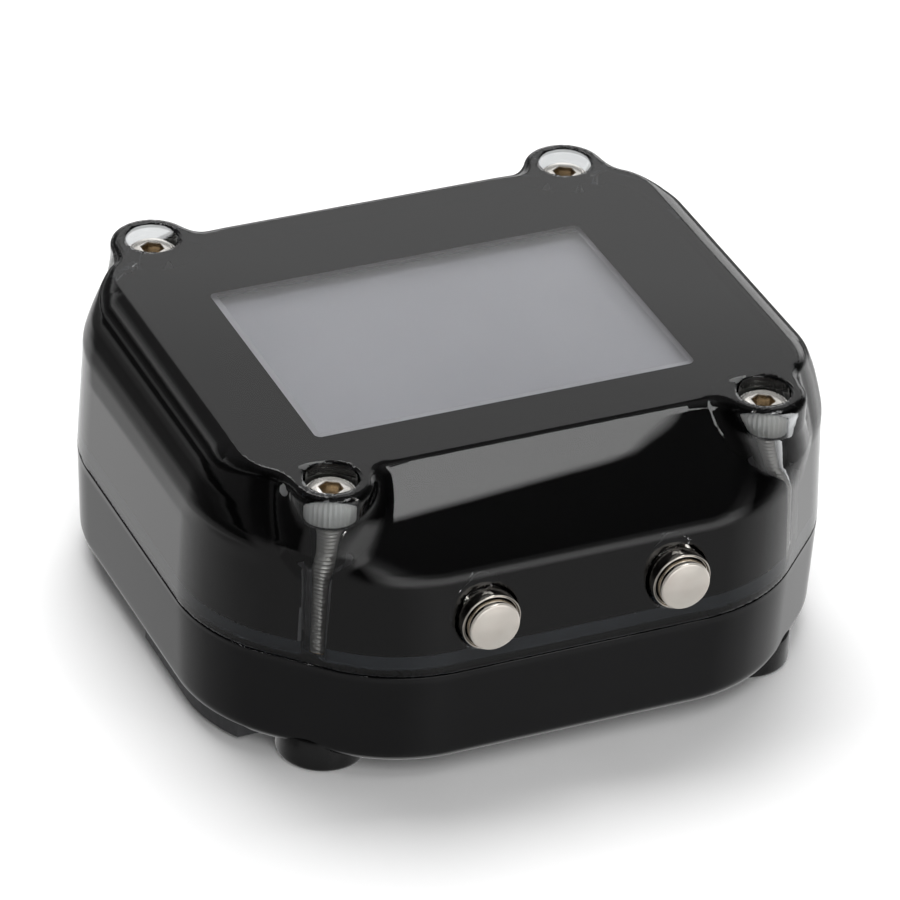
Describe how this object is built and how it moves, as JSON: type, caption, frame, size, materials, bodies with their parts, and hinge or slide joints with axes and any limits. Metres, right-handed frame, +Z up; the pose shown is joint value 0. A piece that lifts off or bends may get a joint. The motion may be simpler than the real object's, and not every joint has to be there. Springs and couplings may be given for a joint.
{
  "type": "tire pressure monitor",
  "caption": "Sealed square tire pressure monitor with a bolted clear cover over a black case, a flat display window, corner screw columns, round feet and sprung push buttons in its front wall.",
  "frame": {"origin": "on the plane the feet stand on, under the middle of the whole outline, buttons included", "axes": "+Z up out of the display, +X to the right of a user who faces the buttons, +Y away from the buttons; the buttons face -Y"},
  "size_m": [0.0742, 0.0744, 0.0342],
  "materials": {
    "clear_cover": "clear, polished",
    "black_mask": "gloss black",
    "black_case": "gloss black",
    "door_plastic": "fine grained dark grey",
    "foot_rubber": "smooth black",
    "seal_rubber": "matt black",
    "plated_steel": "bright nickel plate",
    "button_nickel": "bright nickel plate",
    "spring_steel": "drawn wire",
    "contact_nickel": "nickel plate",
    "insert_brass": "machined",
    "display_glass": "polished",
    "diffuser_white": "satin white",
    "holder_white": "matt white",
    "board_green": "solder mask",
    "chip_black": "matt black",
    "shield_tin": "tin plate",
    "cell_sleeve": "satin grey sleeve"
  },
  "bodies": {
    "housing": {"top_cover": "clear_cover", "inner_mask": "black_mask", "bottom_case": "black_case", "case_seal": "seal_rubber", "cover_screws": "plated_steel", "thread_inserts": "insert_brass", "feet": "foot_rubber", "left_button_bushing": "button_nickel", "left_button_seal": "seal_rubber", "left_button_spring": "spring_steel", "left_switch": "chip_black", "right_button_bushing": "button_nickel", "right_button_seal": "seal_rubber", "right_button_spring": "spring_steel", "right_switch": "chip_black", "lcd_glass": "display_glass", "lcd_backlight": "diffuser_white", "lcd_holder": "holder_white", "lcd_gasket": "seal_rubber", "main_board": "board_green", "board_screws": "plated_steel", "microcontroller": "chip_black", "display_driver": "chip_black", "radio_module": "board_green", "radio_shield": "shield_tin", "antenna": "spring_steel", "buzzer": "chip_black", "battery_cell": "cell_sleeve", "battery_plus_contact": "contact_nickel", "battery_minus_contact": "contact_nickel", "battery_spring": "spring_steel", "battery_door": "door_plastic", "door_seal": "seal_rubber", "door_screws": "plated_steel"},
    "left_button": {"left_button": "button_nickel", "left_button_clip": "spring_steel"},
    "right_button": {"right_button": "button_nickel", "right_button_clip": "spring_steel"}
  },
  "joints": [
    {"name": "left_button_press", "type": "slide", "parent": "housing", "child": "left_button", "axis": [0, 1, 0], "range_m": [0, 0.0007], "stiffness_N_per_m": 1500, "springref_m": -0.0006, "deforming": ["left_button_spring"]},
    {"name": "right_button_press", "type": "slide", "parent": "housing", "child": "right_button", "axis": [0, 1, 0], "range_m": [0, 0.0007], "stiffness_N_per_m": 1500, "springref_m": -0.0006, "deforming": ["right_button_spring"]}
  ]
}
